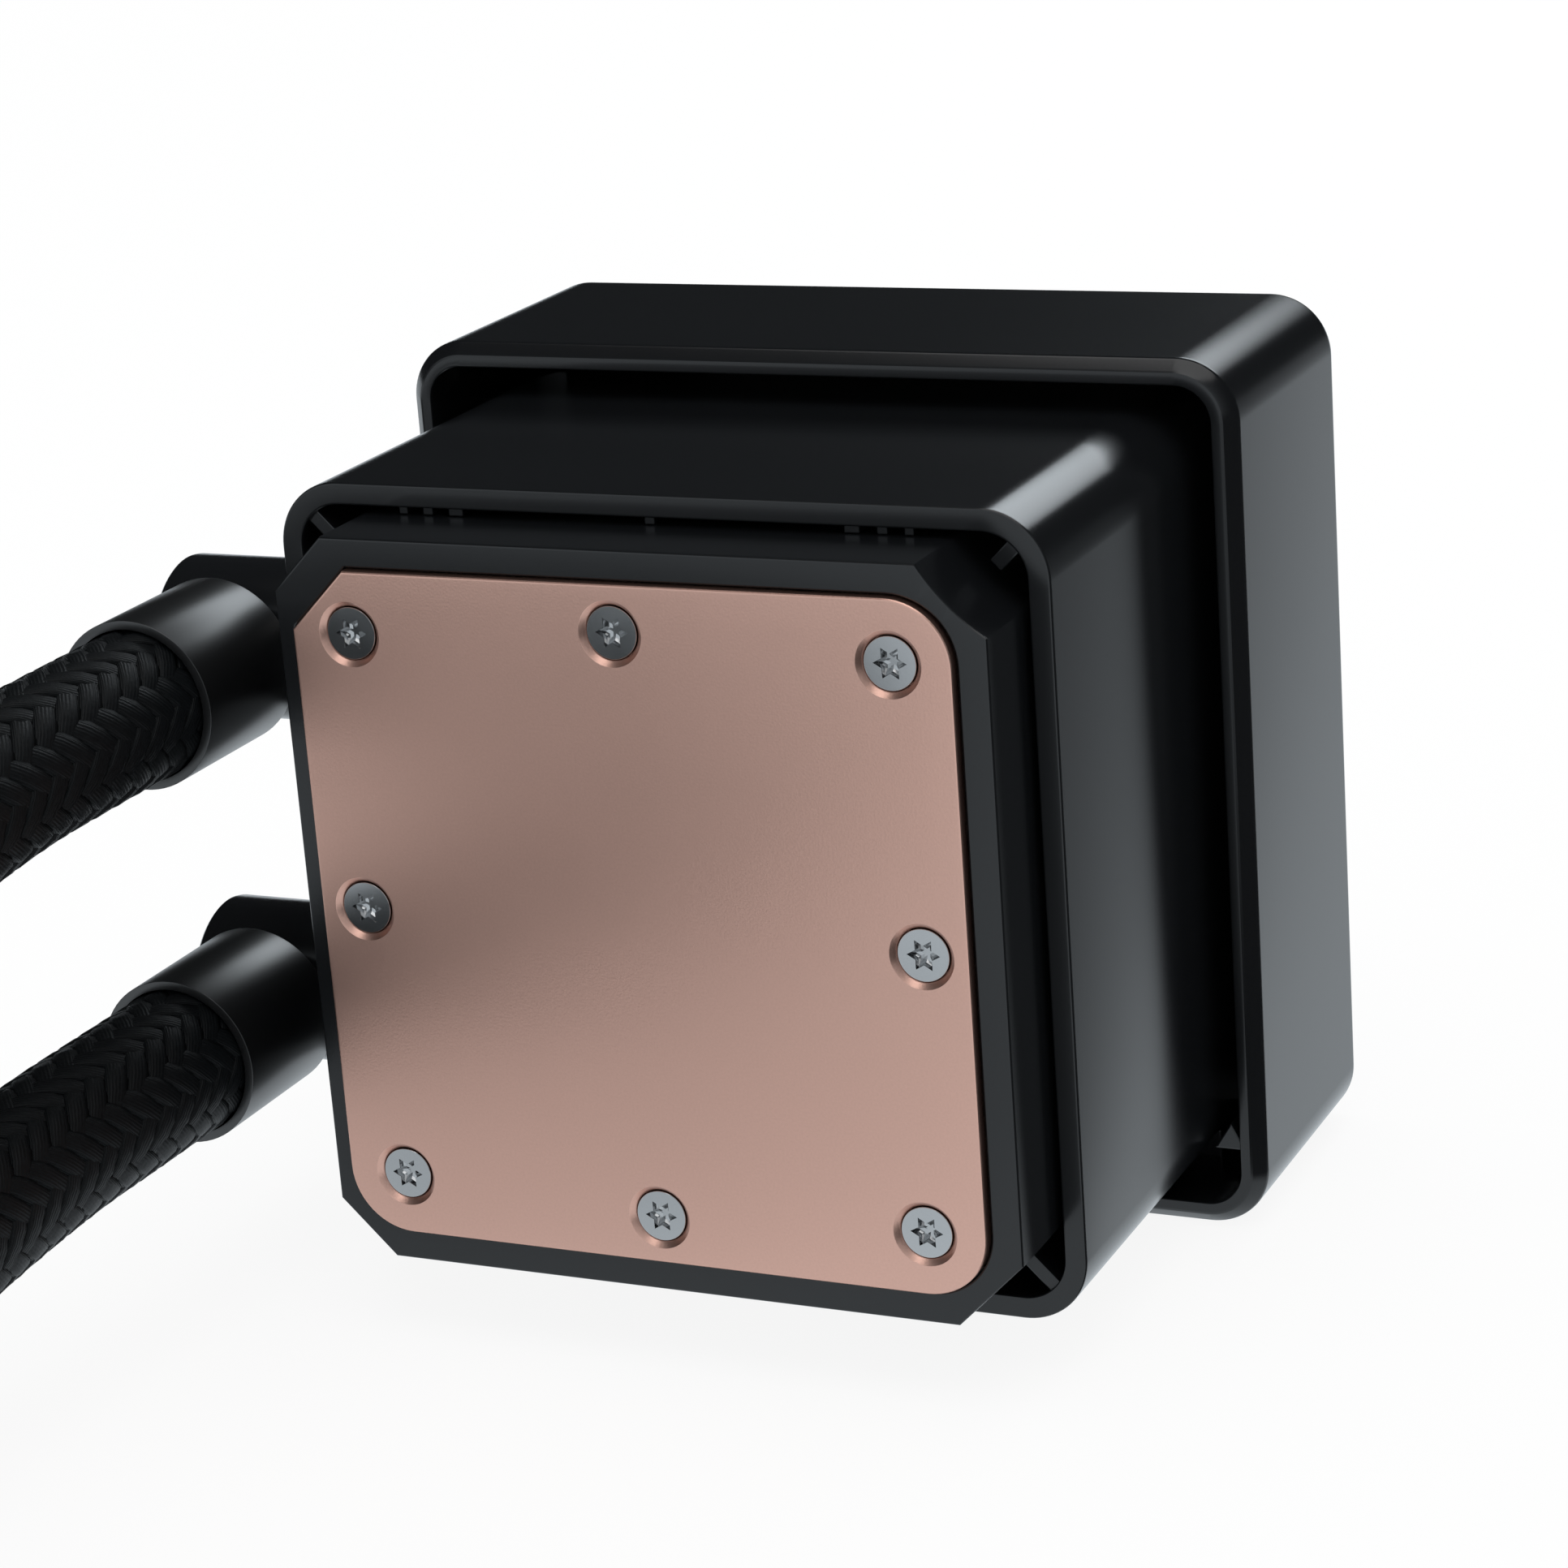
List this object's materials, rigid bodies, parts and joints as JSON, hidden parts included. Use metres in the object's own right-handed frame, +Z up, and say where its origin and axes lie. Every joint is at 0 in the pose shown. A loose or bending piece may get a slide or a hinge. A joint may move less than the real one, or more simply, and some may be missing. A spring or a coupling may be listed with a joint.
{
  "type": "liquid cooler for a processor",
  "caption": "Sealed liquid cooler: a square pump block with a copper cold plate, swivel elbows and sleeved hoses to a small radiator.",
  "frame": {"origin": "centre of the cold plate's outer face", "axes": "+Z up, -Y out of the cold plate's face towards the processor, +X to the right seen from that face"},
  "size_m": [0.3125, 0.2737, 0.075],
  "materials": {
    "copper": "fine machined copper",
    "screw_steel": "grey steel",
    "black_plastic": "black, satin",
    "white_plastic": "plain",
    "seal_rubber": "black",
    "magnet": "dark ferrite",
    "ceramic": "ground",
    "thin_steel": "bright",
    "winding": "enamelled copper wire",
    "board": "green board",
    "crimp": "black, satin",
    "hose_sleeve": "black braided sleeve",
    "radiator_black": "painted black"
  },
  "bodies": {
    "cooler": {"cold_plate": "copper", "plate_screws": "screw_steel", "plate_seal": "seal_rubber", "jet_plate": "white_plastic", "pump_body": "black_plastic", "rotor_can": "white_plastic", "shaft": "ceramic", "shaft_bridge": "white_plastic", "stator": "thin_steel", "stator_coils": "winding", "circuit_board": "board", "shroud": "black_plastic", "back_plate": "black_plastic", "frame_screws": "screw_steel", "outer_cap": "black_plastic", "elbow_clips": "thin_steel", "hose_upper": "hose_sleeve", "hose_lower": "hose_sleeve", "tank_front": "radiator_black", "tank_connections": "radiator_black", "tank_rear": "radiator_black", "flat_tubes": "radiator_black", "fin_strips": "radiator_black", "side_channel_left": "radiator_black", "side_channel_right": "radiator_black", "tank_ferrule_upper": "crimp", "tank_ferrule_lower": "crimp", "filling_screw": "screw_steel"},
    "wheel": {"impeller": "white_plastic", "rotor_magnet": "magnet", "sleeve_bearings": "ceramic"},
    "elbow_upper": {"elbow_upper": "black_plastic", "elbow_seals_upper": "seal_rubber", "ferrule_upper": "crimp"},
    "elbow_lower": {"elbow_lower": "black_plastic", "elbow_seals_lower": "seal_rubber", "ferrule_lower": "crimp"}
  },
  "joints": [
    {"name": "impeller_spin", "type": "hinge", "parent": "cooler", "child": "wheel", "pos_m": [0, 0.016, 0], "axis": [0, 1, 0], "continuous": true},
    {"name": "elbow_upper_swivel", "type": "hinge", "parent": "cooler", "child": "elbow_upper", "pos_m": [-0.04, 0.023, 0.015], "axis": [-1, 0, 0], "range_deg": [-15, 45], "deforming": ["hose_upper"]},
    {"name": "elbow_lower_swivel", "type": "hinge", "parent": "cooler", "child": "elbow_lower", "pos_m": [-0.04, 0.023, -0.0162], "axis": [-1, 0, 0], "range_deg": [-15, 15], "deforming": ["hose_lower"]}
  ]
}
